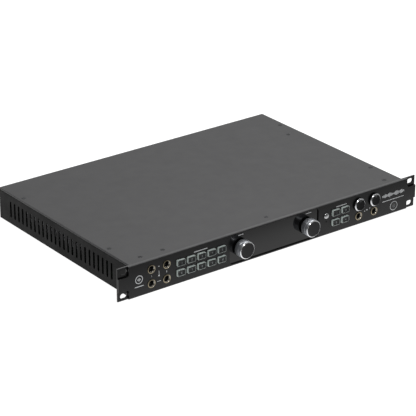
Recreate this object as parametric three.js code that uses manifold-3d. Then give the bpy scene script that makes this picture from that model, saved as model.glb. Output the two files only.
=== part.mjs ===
// One-unit rack audio interface, built as separate solids.
// Units are millimetres, +Z up, front towards -Y, +X to the right seen from the front.
// Origin: centre of the bounding box in X and Y, on the underside of the chassis in Z.
// Distances along Y are first written from the front face of the front panel
// (negative in front of it) and moved by Y_SHIFT at the end.
import * as THREE from 'three';
import { mergeVertices } from 'three/addons/utils/BufferGeometryUtils.js';
import Module from 'manifold-3d';

const wasm = await Module();
wasm.setup();

// ---------------------------------------------------------------- dimensions
const PANEL_W = 482.6;            // 19-inch rack panel
const PANEL_Z0 = 0.2;             // underside of the panel above the chassis underside
const PANEL_H = 44.0;
const PANEL_T = 4.8;
const PANEL_MID = PANEL_Z0 + PANEL_H / 2;
const PANEL_CHAMFER = 0.7;
const SLOT_X = 465.1 / 2;         // rack slot pitch, side to side
const SLOT_DZ = 31.75 / 2;        // rack slot pitch, one unit
const SLOT_L = 10.3;
const SLOT_H = 6.8;
const POCKET_X = 226.3;           // inner end of the milled pocket round each slot
const POCKET_D = 2.6;
const POCKET_H = 12.9;            // from the panel's top or bottom edge
const POCKET_R = 3.0;

const CHASSIS_W = 443.6;
const CHASSIS_TOP = 42.9;
const CHASSIS_REAR = 303.2;
const SHEET = 1.6;
const GAP = 0.3;
const SEAM_Z = 40.9;              // lower edge of the cover's bent lip
const VENT_N = 25;
const VENT_PITCH = 9.67;
const VENT_Y0 = 43.3;
const VENT_W = 3.9;
const VENT_Z0 = 9.2;
const VENT_Z1 = 32.2;

const WIN_HALF = 72.1;            // display opening in the panel
const WIN_Z0 = 2.6;
const WIN_Z1 = 41.8;
const WIN_R = 4.0;
const WIN_RECESS = 1.6;
const WIN_T = 2.5;

const KNOB_X = 53.9;              // two large push encoders
const KNOB_FACE = -13.0;
const KNOB_R = 11.5;
const KNOB_BACK = -0.8;
const NECK_R = 6.0;
const NECK_END = 0.6;
const SHAFT_R = 3.0;

const JACK_X = [-193.0, -170.0];
const JACK_Z = [31.9, 12.5];
const JACK_BORE_R = 3.3;          // rear sockets
const FRONT_BORE_R = 3.5;
const JACK_RING_R = 5.65;
const JACK_RING_T = 0.9;
const BUSH_R = 4.5;
const JACK_HOLE_R = 4.85;

const BTN_W = 12.0;
const BTN_H = 8.3;
const BTN_R = 1.2;
const BTN_OUT = 2.5;
const BTN_IN = 8.0;
const BTN_Z = [28.7, 15.0];
const IN_BTN_X = [-148.8, -133.0, -117.2, -101.4, -85.6];
const OUT_BTN_X = [100.9, 116.9];

const TALK_X = 85.4;
const TALK_Z = 27.5;
const TALK_R = 4.0;
const MIC_Z = 19.4;
const POWER_X = 202.9;
const POWER_Z = 10.9;
const POWER_R = 5.3;

const PHONE_X = [141.0, 167.8];
const PHONE_KNOB_Z = 29.3;
const PHONE_KNOB_R = 8.8;
const PHONE_KNOB_OUT = 4.0;
const PHONE_JACK_Z = 12.5;

const REAR_MAX = 315.0;           // rear end of the coaxial sockets
const Y_SHIFT = -(REAR_MAX + KNOB_FACE) / 2;

// ------------------------------------------------------------------- helpers
function toManifold(geometry) {
  let g = geometry.clone();
  g.deleteAttribute('normal');
  g.deleteAttribute('uv');
  g = mergeVertices(g, 1e-5);
  const pos = g.attributes.position;
  const idx = Array.from(g.index.array);
  const clean = [];
  for (let i = 0; i < idx.length; i += 3) {
    const [a, b, c] = [idx[i], idx[i + 1], idx[i + 2]];
    if (a !== b && b !== c && c !== a) clean.push(a, b, c);
  }
  let vol = 0;
  const A = new THREE.Vector3(), B = new THREE.Vector3(), C = new THREE.Vector3();
  for (let i = 0; i < clean.length; i += 3) {
    A.fromBufferAttribute(pos, clean[i]);
    B.fromBufferAttribute(pos, clean[i + 1]);
    C.fromBufferAttribute(pos, clean[i + 2]);
    vol += A.dot(B.cross(C));
  }
  if (vol < 0) {
    for (let i = 0; i < clean.length; i += 3) {
      const t = clean[i + 1];
      clean[i + 1] = clean[i + 2];
      clean[i + 2] = t;
    }
  }
  return new wasm.Manifold(new wasm.Mesh({
    numProp: 3,
    vertProperties: new Float32Array(pos.array),
    triVerts: new Uint32Array(clean),
  }));
}

function toGeometry(manifold) {
  const mesh = manifold.getMesh();
  const g = new THREE.BufferGeometry();
  const n = mesh.vertProperties.length / mesh.numProp;
  const p = new Float32Array(n * 3);
  for (let i = 0; i < n; i++) {
    for (let k = 0; k < 3; k++) p[i * 3 + k] = mesh.vertProperties[i * mesh.numProp + k];
  }
  g.setAttribute('position', new THREE.BufferAttribute(p, 3));
  g.setIndex(Array.from(mesh.triVerts));
  return g;
}

const AXIS_X = new THREE.Matrix4().makeBasis(
  new THREE.Vector3(0, 1, 0), new THREE.Vector3(0, 0, 1), new THREE.Vector3(1, 0, 0));

// outline drawn in X-Z, solid between y0 and y1
function alongY(shape, y0, y1, seg = 6) {
  const g = new THREE.ExtrudeGeometry(shape, { depth: y1 - y0, bevelEnabled: false, curveSegments: seg, steps: 1 });
  g.rotateX(Math.PI / 2);
  g.translate(0, y1, 0);
  return toManifold(g);
}

// outline drawn in Y-Z, solid between x0 and x1
function alongX(shape, x0, x1, seg = 4) {
  const g = new THREE.ExtrudeGeometry(shape, { depth: x1 - x0, bevelEnabled: false, curveSegments: seg, steps: 1 });
  g.applyMatrix4(AXIS_X);
  g.translate(x0, 0, 0);
  return toManifold(g);
}

function roundRect(Type, cx, cz, w, h, r) {
  const s = new Type();
  const x0 = cx - w / 2, x1 = cx + w / 2, z0 = cz - h / 2, z1 = cz + h / 2;
  if (r <= 0) {
    s.moveTo(x0, z0); s.lineTo(x1, z0); s.lineTo(x1, z1); s.lineTo(x0, z1); s.lineTo(x0, z0);
    return s;
  }
  s.moveTo(x0 + r, z0);
  s.lineTo(x1 - r, z0);
  s.absarc(x1 - r, z0 + r, r, -Math.PI / 2, 0, false);
  s.lineTo(x1, z1 - r);
  s.absarc(x1 - r, z1 - r, r, 0, Math.PI / 2, false);
  s.lineTo(x0 + r, z1);
  s.absarc(x0 + r, z1 - r, r, Math.PI / 2, Math.PI, false);
  s.lineTo(x0, z0 + r);
  s.absarc(x0 + r, z0 + r, r, Math.PI, Math.PI * 1.5, false);
  return s;
}

function box(x0, x1, y0, y1, z0, z1) {
  const g = new THREE.BoxGeometry(x1 - x0, y1 - y0, z1 - z0);
  g.translate((x0 + x1) / 2, (y0 + y1) / 2, (z0 + z1) / 2);
  return toManifold(g);
}

// solid of revolution about an axis parallel to Y; pts are [radius, y]
function turned(cx, cz, pts, seg = 24) {
  const g = new THREE.LatheGeometry(pts.map(([r, y]) => new THREE.Vector2(r, y)), seg);
  g.translate(cx, 0, cz);
  return toManifold(g);
}

function rod(cx, cz, r, y0, y1, seg = 24) {
  return turned(cx, cz, [[0, y0], [r, y0], [r, y1], [0, y1]], seg);
}

const group = new THREE.Group();
group.name = 'audio_interface';
const LOOK = {
  black_metal: [0x2b2c2d, 0.45, 0.6],
  cover_metal: [0x4a4b4c, 0.5, 0.5],
  smoked: [0x17181a, 0.08, 0.0],
  steel: [0xc9cacb, 0.25, 1.0],
  gold: [0xd8bd84, 0.22, 1.0],
  chrome: [0xdfe0e1, 0.1, 1.0],
  button: [0xaab5ad, 0.4, 0.0],
  board: [0x1f5a38, 0.6, 0.0],
  black_plastic: [0x1b1b1c, 0.5, 0.0],
  psu: [0xa9abad, 0.4, 0.9],
};
function add(name, manifold, look) {
  const g = toGeometry(manifold);
  g.translate(0, Y_SHIFT, 0);
  g.computeVertexNormals();
  const [color, roughness, metalness] = LOOK[look];
  const mesh = new THREE.Mesh(g, new THREE.MeshStandardMaterial({ color, roughness, metalness }));
  mesh.name = name;
  group.add(mesh);
}

// --------------------------------------------------------------- front panel
{
  const s = roundRect(THREE.Shape, 0, PANEL_MID, PANEL_W, PANEL_H, 0);
  for (const x of [...IN_BTN_X, ...OUT_BTN_X]) for (const z of BTN_Z) {
    s.holes.push(roundRect(THREE.Path, x, z, BTN_W + 0.7, BTN_H + 0.7, BTN_R + 0.3));
  }
  let panel = alongY(s, 0, PANEL_T, 1);
  for (const sx of [-1, 1]) for (const sz of [-1, 1]) {
    panel = panel.subtract(alongY(roundRect(THREE.Shape, sx * SLOT_X, PANEL_MID + sz * SLOT_DZ, SLOT_L, SLOT_H, SLOT_H / 2 - 0.01), -1, 7, 3));
  }
  panel = panel.subtract(alongY(roundRect(THREE.Shape, 0, (WIN_Z0 + WIN_Z1) / 2, WIN_HALF * 2, WIN_Z1 - WIN_Z0, WIN_R), -1, 7, 3));
  for (const x of JACK_X) for (const z of JACK_Z) panel = panel.subtract(rod(x, z, JACK_HOLE_R, -1, 7));
  for (const x of PHONE_X) {
    panel = panel.subtract(rod(x, PHONE_JACK_Z, JACK_HOLE_R, -1, 7));
    panel = panel.subtract(rod(x, PHONE_KNOB_Z, 3.6, -1, 7));
  }
  panel = panel.subtract(rod(TALK_X, TALK_Z, TALK_R + 0.3, -1, 7));
  panel = panel.subtract(rod(TALK_X, MIC_Z, 0.9, -1, 7, 12));
  panel = panel.subtract(rod(POWER_X, POWER_Z, POWER_R + 0.3, -1, 7));
  for (const sx of [-1, 1]) for (const sz of [-1, 1]) {
    const xin = POCKET_X, xout = PANEL_W / 2 + 4;
    const zEdge = PANEL_MID + sz * (PANEL_H / 2 + 6);
    const zIn = PANEL_MID + sz * (PANEL_H / 2 - POCKET_H);
    const cut = roundRect(THREE.Shape, sx * (xin + xout + 2) / 2, (zEdge + zIn) / 2, xout + 2 - xin, Math.abs(zEdge - zIn), POCKET_R);
    panel = panel.subtract(alongY(cut, -1, POCKET_D, 4));
  }
  // small chamfers along the long edges
  for (const sz of [-1, 1]) {
    const t = new THREE.Shape();
    const e = PANEL_MID + sz * PANEL_H / 2;
    t.moveTo(-0.5, e + sz * 0.5);
    t.lineTo(PANEL_CHAMFER + 0.5, e + sz * 0.5);
    t.lineTo(-0.5, e - sz * (PANEL_CHAMFER + 0.5));
    t.lineTo(-0.5, e + sz * 0.5);
    panel = panel.subtract(alongX(t, -PANEL_W / 2 - 1, PANEL_W / 2 + 1));
  }
  add('front_panel', panel, 'black_metal');
}

// ------------------------------------------------------------ display window
{
  const s = roundRect(THREE.Shape, 0, (WIN_Z0 + WIN_Z1) / 2, WIN_HALF * 2 - 2 * GAP, WIN_Z1 - WIN_Z0 - 2 * GAP, WIN_R - GAP);
  let win = alongY(s, WIN_RECESS, WIN_RECESS + WIN_T, 3);
  for (const sx of [-1, 1]) win = win.subtract(rod(sx * KNOB_X, PANEL_MID, SHAFT_R + 0.7, 0, 6));
  add('display_window', win, 'smoked');
}
add('display_module', box(-40, 40, 5.6, 11, 6.5, 37.5).add(box(-34, 34, 4.4, 5.7, 9.5, 34.5)), 'black_plastic');

// ------------------------------------------------------------------- chassis
{
  const h = CHASSIS_W / 2, t = CHASSIS_TOP, r = 1.5;
  const s = new THREE.Shape();
  s.moveTo(-h, SEAM_Z);
  s.lineTo(-h, t - r);
  s.absarc(-h + r, t - r, r, Math.PI, Math.PI / 2, true);
  s.lineTo(h - r, t);
  s.absarc(h - r, t - r, r, Math.PI / 2, 0, true);
  s.lineTo(h, SEAM_Z);
  s.lineTo(h - SHEET, SEAM_Z);
  s.lineTo(h - SHEET, t - SHEET);
  s.lineTo(-h + SHEET, t - SHEET);
  s.lineTo(-h + SHEET, SEAM_Z);
  s.lineTo(-h, SEAM_Z);
  add('top_cover', alongY(s, PANEL_T + GAP, CHASSIS_REAR, 3), 'cover_metal');
}
add('bottom_plate', box(-CHASSIS_W / 2 + SHEET + GAP, CHASSIS_W / 2 - SHEET - GAP, PANEL_T + GAP, CHASSIS_REAR - SHEET - GAP, 0, SHEET), 'black_metal');
for (const [name, sx] of [['side_panel_left', -1], ['side_panel_right', 1]]) {
  const s = new THREE.Shape();
  const y0 = PANEL_T + GAP, y1 = CHASSIS_REAR - SHEET - GAP, z1 = SEAM_Z - 0.5;
  s.moveTo(y0, 0); s.lineTo(y1, 0); s.lineTo(y1, z1); s.lineTo(y0, z1); s.lineTo(y0, 0);
  for (let k = 0; k < VENT_N; k++) {
    s.holes.push(roundRect(THREE.Path, VENT_Y0 + VENT_PITCH * k, (VENT_Z0 + VENT_Z1) / 2, VENT_W, VENT_Z1 - VENT_Z0, VENT_W / 2 - 0.01));
  }
  const a = sx * CHASSIS_W / 2, b = sx * (CHASSIS_W / 2 - SHEET);
  add(name, alongX(s, Math.min(a, b), Math.max(a, b), 1), 'black_metal');
}

// -------------------------------------------------------------- rear sockets
const COMBO_X = [200, 172, 144, 116];
const COMBO_Z = 22.2;
const DSUB_X = 66;
const TRS_X = 22;
const BNC_X = -2;
const COAX_X = -28;
const OPT_X = [-54, -78];
const DATA_X = -108;
const INLET_X = -178;
const ROW_Z = [31.5, 12.5];
const R0 = CHASSIS_REAR - SHEET;  // inner face of the rear panel
const R1 = CHASSIS_REAR;          // outer face
{
  const s = roundRect(THREE.Shape, 0, (SEAM_Z - 0.5) / 2, CHASSIS_W, SEAM_Z - 0.5, 0);
  for (const x of COMBO_X) s.holes.push(roundRect(THREE.Path, x, COMBO_Z, 23.4, 23.4, 11.69));
  for (const z of ROW_Z) {
    s.holes.push(roundRect(THREE.Path, DSUB_X, z, 42, 11.2, 2));
    s.holes.push(roundRect(THREE.Path, TRS_X, z, 9.8, 9.8, 4.89));
    s.holes.push(roundRect(THREE.Path, BNC_X, z, 9.8, 9.8, 4.89));
  }
  s.holes.push(roundRect(THREE.Path, COAX_X, 22, 12.6, 30.6, 1));
  for (const x of OPT_X) s.holes.push(roundRect(THREE.Path, x, 22, 14.6, 30.6, 1));
  s.holes.push(roundRect(THREE.Path, DATA_X, 22, 12.6, 28.6, 1));
  s.holes.push(roundRect(THREE.Path, INLET_X, 22.2, 28.0, 20.4, 2));
  add('rear_panel', alongY(s, R0, R1, 2), 'black_metal');
}
COMBO_X.forEach((x, i) => {
  let c = alongY(roundRect(THREE.Shape, x, COMBO_Z, 26, 31, 3), R1 + 0.1, R1 + 2.3, 1);
  c = c.add(rod(x, COMBO_Z, 11.3, R0 - 24, R1 + 0.5));
  c = c.subtract(rod(x, COMBO_Z, 9.6, R1 + 0.8, R1 + 4));
  c = c.subtract(rod(x, COMBO_Z, JACK_BORE_R, R0 - 20, R1 + 4, 16));
  add(`combo_jack_${i + 1}`, c, 'black_plastic');
});
ROW_Z.forEach((z, i) => {
  let d = alongY(roundRect(THREE.Shape, DSUB_X, z, 53, 12.5, 1.5), R1 + 0.1, R1 + 1.1, 1);
  const sh = new THREE.Shape();
  sh.moveTo(DSUB_X - 19.0, z + 4); sh.lineTo(DSUB_X - 17.4, z - 4); sh.lineTo(DSUB_X + 17.4, z - 4); sh.lineTo(DSUB_X + 19.0, z + 4); sh.lineTo(DSUB_X - 19.0, z + 4);
  d = d.add(alongY(sh, R1 + 0.5, R1 + 6.8));
  d = d.add(box(DSUB_X - 20, DSUB_X + 20, R0 - 9, R1 + 0.6, z - 5, z + 5));
  add(`multipin_socket_${i + 1}`, d, 'steel');

  let t = turned(TRS_X, z, [[0, R0 - 22], [JACK_BORE_R, R0 - 22], [JACK_BORE_R, R1 + 2.6], [5.0, R1 + 2.6], [5.6, R1 + 2.0], [5.6, R1 + 0.1], [BUSH_R, R1 + 0.1], [BUSH_R, R0 - 24], [0, R0 - 24]], 20);
  t = t.add(box(TRS_X - 7, TRS_X + 7, R0 - 25, R0 - 0.4, z - 7, z + 7).subtract(rod(TRS_X, z, JACK_BORE_R + 0.5, R0 - 22, R0 + 1, 20)));
  add(`line_out_jack_${i + 1}`, t, 'steel');

  let b = turned(BNC_X, z, [[0, R0 - 10], [BUSH_R, R0 - 10], [BUSH_R, R1 + 0.1], [6.3, R1 + 0.1], [6.3, R1 + 2.4], [4.8, R1 + 2.4], [4.8, REAR_MAX], [4.0, REAR_MAX], [4.0, R1 + 4], [1.6, R1 + 4], [1.6, REAR_MAX - 1], [0, REAR_MAX - 1]], 20);
  add(`bnc_socket_${i + 1}`, b, 'steel');
});
{
  let c = box(COAX_X - 6, COAX_X + 6, R0 - 10, R1 + 1.2, 7, 37);
  for (const z of [30, 14]) c = c.add(turned(COAX_X, z, [[0, R1], [4.1, R1], [4.1, R1 + 9], [3.4, R1 + 9.4], [2.0, R1 + 9.4], [2.0, R1 + 3], [0, R1 + 3]], 20));
  add('coax_block', c, 'black_plastic');
}
OPT_X.forEach((x, i) => {
  let o = box(x - 7, x + 7, R0 - 12, R1 + 2.0, 7, 37);
  for (const z of [30, 14]) o = o.subtract(box(x - 4.6, x + 4.6, R1 - 7, R1 + 4, z - 4.4, z + 4.4));
  add(`optical_block_${i + 1}`, o, 'black_plastic');
});
{
  let d = box(DATA_X - 6, DATA_X + 6, R0 - 14, R1 + 0.6, 8, 36);
  for (const z of [29, 15]) d = d.subtract(alongY(roundRect(THREE.Shape, DATA_X, z, 9.0, 3.3, 1.5), R1 - 8, R1 + 2, 2));
  add('data_port_block', d, 'steel');
}
{
  let p = alongY(roundRect(THREE.Shape, INLET_X, 22.2, 50, 27, 6), R1 + 0.1, R1 + 3.0, 2);
  p = p.add(alongY(roundRect(THREE.Shape, INLET_X, 22.2, 27.4, 19.8, 1.5), R0 - 20, R1 + 1, 1));
  p = p.subtract(alongY(roundRect(THREE.Shape, INLET_X, 22.2, 24.4, 16.8, 1.5), R1 - 17, R1 + 5, 1));
  add('power_inlet', p, 'black_plastic');
}

// --------------------------------------------------------------- inner parts
add('main_board', box(-214, 214, 45, 262, 6.4, 8.0), 'board');
add('power_supply', box(-212, -118, 120, 256, 9.0, 37), 'psu');

// switch boards behind the panel, with one switch block behind each button
{
  let b = box(-158, -76, 10.7, 12.3, 4.5, 39);
  for (const x of IN_BTN_X) for (const z of BTN_Z) b = b.add(box(x - 3, x + 3, 9.6, 10.9, z - 3, z + 3));
  add('input_switch_board', b, 'board');
  b = box(79.5, 126, 10.7, 12.3, 4.5, 39);
  for (const x of OUT_BTN_X) for (const z of BTN_Z) b = b.add(box(x - 3, x + 3, 9.6, 10.9, z - 3, z + 3));
  b = b.add(box(TALK_X - 3, TALK_X + 3, 9.6, 10.9, TALK_Z - 3, TALK_Z + 3));
  add('output_switch_board', b, 'board');
}

// ---------------------------------------------------------------- front jacks
function frontJack(name, x, z) {
  // nut and threaded bushing with a flared mouth, in front of a square contact housing, open at the rear
  let j = turned(x, z, [
    [FRONT_BORE_R, 6.6], [FRONT_BORE_R, 0.6], [FRONT_BORE_R + 1.2, -JACK_RING_T],
    [JACK_RING_R - 0.3, -JACK_RING_T], [JACK_RING_R, -JACK_RING_T + 0.3], [JACK_RING_R, -0.1],
    [BUSH_R + 0.1, -0.1], [BUSH_R + 0.1, 6.6], [FRONT_BORE_R, 6.6]], 20);
  j = j.add(box(x - 7, x + 7, 5.4, 28, z - 7.5, z + 7.5).subtract(rod(x, z, BUSH_R, 4, 30, 16)));
  add(name, j, 'gold');
}
let n = 1;
for (const x of JACK_X) for (const z of JACK_Z) frontJack(`instrument_jack_${n++}`, x, z);
frontJack('phones_jack_1', PHONE_X[0], PHONE_JACK_Z);
frontJack('phones_jack_2', PHONE_X[1], PHONE_JACK_Z);

// -------------------------------------------------------------------- buttons
function button(name, x, z) {
  let b = alongY(roundRect(THREE.Shape, x, z, BTN_W, BTN_H, BTN_R), -BTN_OUT + 0.5, BTN_IN, 1);
  b = b.add(alongY(roundRect(THREE.Shape, x, z, BTN_W - 1.0, BTN_H - 1.0, BTN_R - 0.4), -BTN_OUT, -BTN_OUT + 1, 1));
  b = b.add(alongY(roundRect(THREE.Shape, x, z, BTN_W + 1.8, BTN_H + 1.8, 0), PANEL_T + 0.4, PANEL_T + 1.4, 1));
  add(name, b, 'button');
}
n = 1;
for (const z of BTN_Z) for (const x of IN_BTN_X) button(`input_button_${n++}`, x, z);
n = 1;
for (const z of BTN_Z) for (const x of OUT_BTN_X) button(`output_button_${n++}`, x, z);
add('talkback_button', turned(TALK_X, TALK_Z, [
  [0, -2.3], [1.4, -2.2], [2.6, -1.8], [3.5, -1.1], [TALK_R, -0.2], [TALK_R, PANEL_T + 0.4],
  [TALK_R + 1, PANEL_T + 0.4], [TALK_R + 1, PANEL_T + 1.4], [2, PANEL_T + 1.4], [2, BTN_IN], [0, BTN_IN]], 18), 'chrome');
add('power_button', turned(POWER_X, POWER_Z, [
  [0, -0.9], [POWER_R - 0.5, -0.9], [POWER_R, -0.4], [POWER_R, PANEL_T + 0.4], [POWER_R + 1, PANEL_T + 0.4],
  [POWER_R + 1, PANEL_T + 1.4], [3, PANEL_T + 1.4], [3, BTN_IN], [0, BTN_IN]], 20), 'black_plastic');

// ---------------------------------------------------------------- large knobs
for (const [tag, sx] of [['input', -1], ['output', 1]]) {
  const x = sx * KNOB_X;
  add(`${tag}_knob`, turned(x, PANEL_MID, [
    [0, KNOB_FACE + 0.3], [KNOB_R - 1.6, KNOB_FACE + 0.3], [KNOB_R - 1.3, KNOB_FACE], [KNOB_R - 0.9, KNOB_FACE],
    [KNOB_R, KNOB_FACE + 0.9], [KNOB_R, KNOB_BACK - 0.5], [KNOB_R - 0.5, KNOB_BACK], [NECK_R, KNOB_BACK],
    [NECK_R, NECK_END], [SHAFT_R + 0.3, NECK_END], [SHAFT_R + 0.3, KNOB_FACE + 2.6], [0, KNOB_FACE + 2.6]], 32), 'steel');
  add(`${tag}_knob_shaft`, rod(x, PANEL_MID, SHAFT_R, KNOB_FACE + 3.0, 16, 16), 'steel');
  add(`${tag}_encoder`, box(x - 8, x + 8, 8, 19, PANEL_MID - 8, PANEL_MID + 8).subtract(rod(x, PANEL_MID, SHAFT_R + 0.4, 7, 20, 16)), 'psu');
}

// --------------------------------------------------------------- phones knobs
PHONE_X.forEach((x, i) => {
  add(`phones_knob_${i + 1}`, turned(x, PHONE_KNOB_Z, [
    [0, -PHONE_KNOB_OUT + 0.3], [PHONE_KNOB_R - 1.7, -PHONE_KNOB_OUT + 0.3], [PHONE_KNOB_R - 1.4, -PHONE_KNOB_OUT],
    [PHONE_KNOB_R - 0.8, -PHONE_KNOB_OUT], [PHONE_KNOB_R, -PHONE_KNOB_OUT + 0.8], [PHONE_KNOB_R, -0.5],
    [SHAFT_R, -0.5], [SHAFT_R, 12], [0, 12]], 24), 'black_plastic');
  add(`phones_pot_${i + 1}`, box(x - 7, x + 7, 6, 15, PHONE_KNOB_Z - 7, PHONE_KNOB_Z + 7)
    .subtract(rod(x, PHONE_KNOB_Z, SHAFT_R + 0.4, 5, 16, 16)), 'psu');
});

export default group;
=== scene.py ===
import bpy, bmesh, math
from mathutils import Vector, Matrix


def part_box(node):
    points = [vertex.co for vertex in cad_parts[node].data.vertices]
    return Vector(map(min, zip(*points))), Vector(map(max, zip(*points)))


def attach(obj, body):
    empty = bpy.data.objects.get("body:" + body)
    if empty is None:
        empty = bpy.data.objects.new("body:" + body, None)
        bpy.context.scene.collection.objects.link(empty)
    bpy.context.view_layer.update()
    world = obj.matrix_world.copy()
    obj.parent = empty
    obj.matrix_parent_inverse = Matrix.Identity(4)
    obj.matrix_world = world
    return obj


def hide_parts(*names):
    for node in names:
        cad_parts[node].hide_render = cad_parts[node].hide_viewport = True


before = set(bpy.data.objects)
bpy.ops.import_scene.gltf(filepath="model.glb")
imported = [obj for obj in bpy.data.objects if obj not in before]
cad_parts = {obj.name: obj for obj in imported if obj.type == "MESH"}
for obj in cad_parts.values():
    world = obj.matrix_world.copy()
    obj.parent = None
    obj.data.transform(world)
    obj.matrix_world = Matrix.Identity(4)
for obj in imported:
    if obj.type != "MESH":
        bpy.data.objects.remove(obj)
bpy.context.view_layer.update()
scene = bpy.context.scene

# ------------------------------------------------------------------ geometry
# Points are written in mm: x from the centre, y from the front face of the
# panel (negative in front of it), z from the underside of the chassis.
lo_p, hi_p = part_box("front_panel")
Y0 = lo_p.y * 1000.0


def P(x, y, z):
    return Vector((x / 1000.0, (y + Y0) / 1000.0, z / 1000.0))


def link(o):
    scene.collection.objects.link(o)
    return o


def shade(mesh, angle=32):
    for p in mesh.polygons:
        p.use_smooth = True
    mesh.set_sharp_from_angle(angle=math.radians(angle))


def finish_mesh(name, bm, mat, body, angle=32, node=None, recalc=True):
    if recalc:
        bmesh.ops.recalc_face_normals(bm, faces=bm.faces)
    me = bpy.data.meshes.new(name)
    bm.to_mesh(me)
    bm.free()
    shade(me, angle)
    me.materials.append(mat)
    o = link(bpy.data.objects.new(name, me))
    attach(o, body)
    if node:
        for n in ([node] if isinstance(node, str) else node):
            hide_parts(n)
    return o


def lathe_into(bm, cx, cz, pts, seg=64, axis="y"):
    """Surface of revolution about a line parallel to Y through (cx, cz); pts are (radius, along). The axis argument is
    not used.
    """
    rings = []
    for r, a in pts:
        if r <= 1e-6:
            rings.append([bm.verts.new(P(cx, a, cz))])
        else:
            rings.append([bm.verts.new(P(cx + r * math.cos(2 * math.pi * k / seg), a, cz + r * math.sin(2 * math.pi * k / seg))) for k in range(seg)])
    for A, B in zip(rings[:-1], rings[1:]):
        if len(A) == 1 and len(B) == 1:
            continue
        for k in range(seg):
            k2 = (k + 1) % seg
            if len(A) == 1:
                bm.faces.new((A[0], B[k], B[k2]))
            elif len(B) == 1:
                bm.faces.new((A[k], A[k2], B[0]))
            else:
                bm.faces.new((A[k], A[k2], B[k2], B[k]))
    if pts[0] == pts[-1]:
        bmesh.ops.remove_doubles(bm, verts=rings[0] + rings[-1], dist=1e-7)


def lathe(name, cx, cz, pts, mat, body, seg=64, angle=32, node=None):
    bm = bmesh.new()
    lathe_into(bm, cx, cz, pts, seg)
    return finish_mesh(name, bm, mat, body, angle, node)


def rrect(cx, cz, w, h, r, seg=5):
    """Outline of a rounded rectangle, as (x, z) points, anticlockwise."""
    r = min(r, w / 2 - 1e-4, h / 2 - 1e-4)
    out = []
    for qx, qz, a0 in ((1, -1, -90), (1, 1, 0), (-1, 1, 90), (-1, -1, 180)):
        mx, mz = cx + qx * (w / 2 - r), cz + qz * (h / 2 - r)
        for k in range(seg + 1):
            a = math.radians(a0 + 90.0 * k / seg)
            out.append((mx + r * math.cos(a), mz + r * math.sin(a)))
    return out


def loft_into(bm, loops, cap0=True, cap1=True):
    """loops: list of lists of Vector, same count."""
    rows = [[bm.verts.new(v) for v in lp] for lp in loops]
    n = len(rows[0])
    for A, B in zip(rows[:-1], rows[1:]):
        for k in range(n):
            k2 = (k + 1) % n
            bm.faces.new((A[k], A[k2], B[k2], B[k]))
    if cap0:
        bm.faces.new(rows[0])
    if cap1:
        bm.faces.new(list(reversed(rows[-1])))
    return rows


def slab_into(bm, cx, cz, w, h, r, steps, seg=5, cap0=True, cap1=True):
    """Rounded block along Y; steps are (y, inset)."""
    loops = []
    for y, ins in steps:
        loops.append([P(x, y, z) for x, z in rrect(cx, cz, w - 2 * ins, h - 2 * ins, max(r - ins, 0.05), seg)])
    loft_into(bm, loops, cap0, cap1)


def slab(name, cx, cz, w, h, r, steps, mat, body, seg=5, angle=32, node=None):
    bm = bmesh.new()
    slab_into(bm, cx, cz, w, h, r, steps, seg)
    return finish_mesh(name, bm, mat, body, angle, node)


def fillet(y_edge, r, inward, n=4, into=1.0):
    """(y, inset) steps of a quarter-round at a block's front edge. into=+1: body lies at larger y."""
    out = []
    for k in range(n + 1):
        a = math.pi / 2 * k / n
        out.append((y_edge + into * r * (1 - math.sin(a)), inward + r * (1 - math.cos(a))))
    return out  # from the side wall towards the face


def box_into(bm, x0, x1, y0, y1, z0, z1):
    c = [(x0, z0), (x1, z0), (x1, z1), (x0, z1)]
    loft_into(bm, [[P(x, y0, z) for x, z in c], [P(x, y1, z) for x, z in c]])


def bevelled(node, width, mat, body, seg=2, name=None, angle=30):
    """A softened copy of a CAD node: coplanar triangles merged and real edges rounded."""
    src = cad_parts[node]
    bm = bmesh.new()
    bm.from_mesh(src.data)
    bmesh.ops.remove_doubles(bm, verts=bm.verts, dist=2e-6)
    bmesh.ops.dissolve_limit(bm, angle_limit=math.radians(0.6), verts=bm.verts, edges=bm.edges)
    me = bpy.data.meshes.new(name or (node + "_skin"))
    bm.to_mesh(me)
    bm.free()
    o = link(bpy.data.objects.new(name or (node + "_skin"), me))
    m = o.modifiers.new("edge", "BEVEL")
    m.width = width / 1000.0
    m.segments = seg
    m.limit_method = "ANGLE"
    m.angle_limit = math.radians(angle)
    m.use_clamp_overlap = True
    m.harden_normals = False
    bpy.context.view_layer.update()
    dg = bpy.context.evaluated_depsgraph_get()
    me2 = bpy.data.meshes.new_from_object(o.evaluated_get(dg))
    o.modifiers.clear()
    o.data = me2
    bpy.data.meshes.remove(me)
    shade(me2, 50)
    for q in me2.polygons:
        if max(abs(q.normal.x), abs(q.normal.y), abs(q.normal.z)) > 0.9995:
            q.use_smooth = False
    me2.materials.clear()
    me2.materials.append(mat)
    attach(o, body)
    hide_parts(node)
    return o


def inset_loop(pts, d):
    """Outline moved inwards (anticlockwise points); d is one distance, or one for each edge."""
    n = len(pts)
    if not isinstance(d, (list, tuple)):
        d = [d] * n
    out = []
    for i in range(n):
        (ax, az), (bx, bz), (cx, cz) = pts[i - 1], pts[i], pts[(i + 1) % n]
        l1, l2 = math.hypot(bx - ax, bz - az), math.hypot(cx - bx, cz - bz)
        n1 = (-(bz - az) / l1, (bx - ax) / l1)
        n2 = (-(cz - bz) / l2, (cx - bx) / l2)
        d1, d2 = d[i - 1], d[i]
        det = n1[0] * n2[1] - n1[1] * n2[0]
        if abs(det) < 1e-4:
            out.append((bx + n1[0] * d1, bz + n1[1] * d1))
        else:
            out.append((bx + (d1 * n2[1] - d2 * n1[1]) / det, bz + (n1[0] * d2 - n2[0] * d1) / det))
    return out


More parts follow.
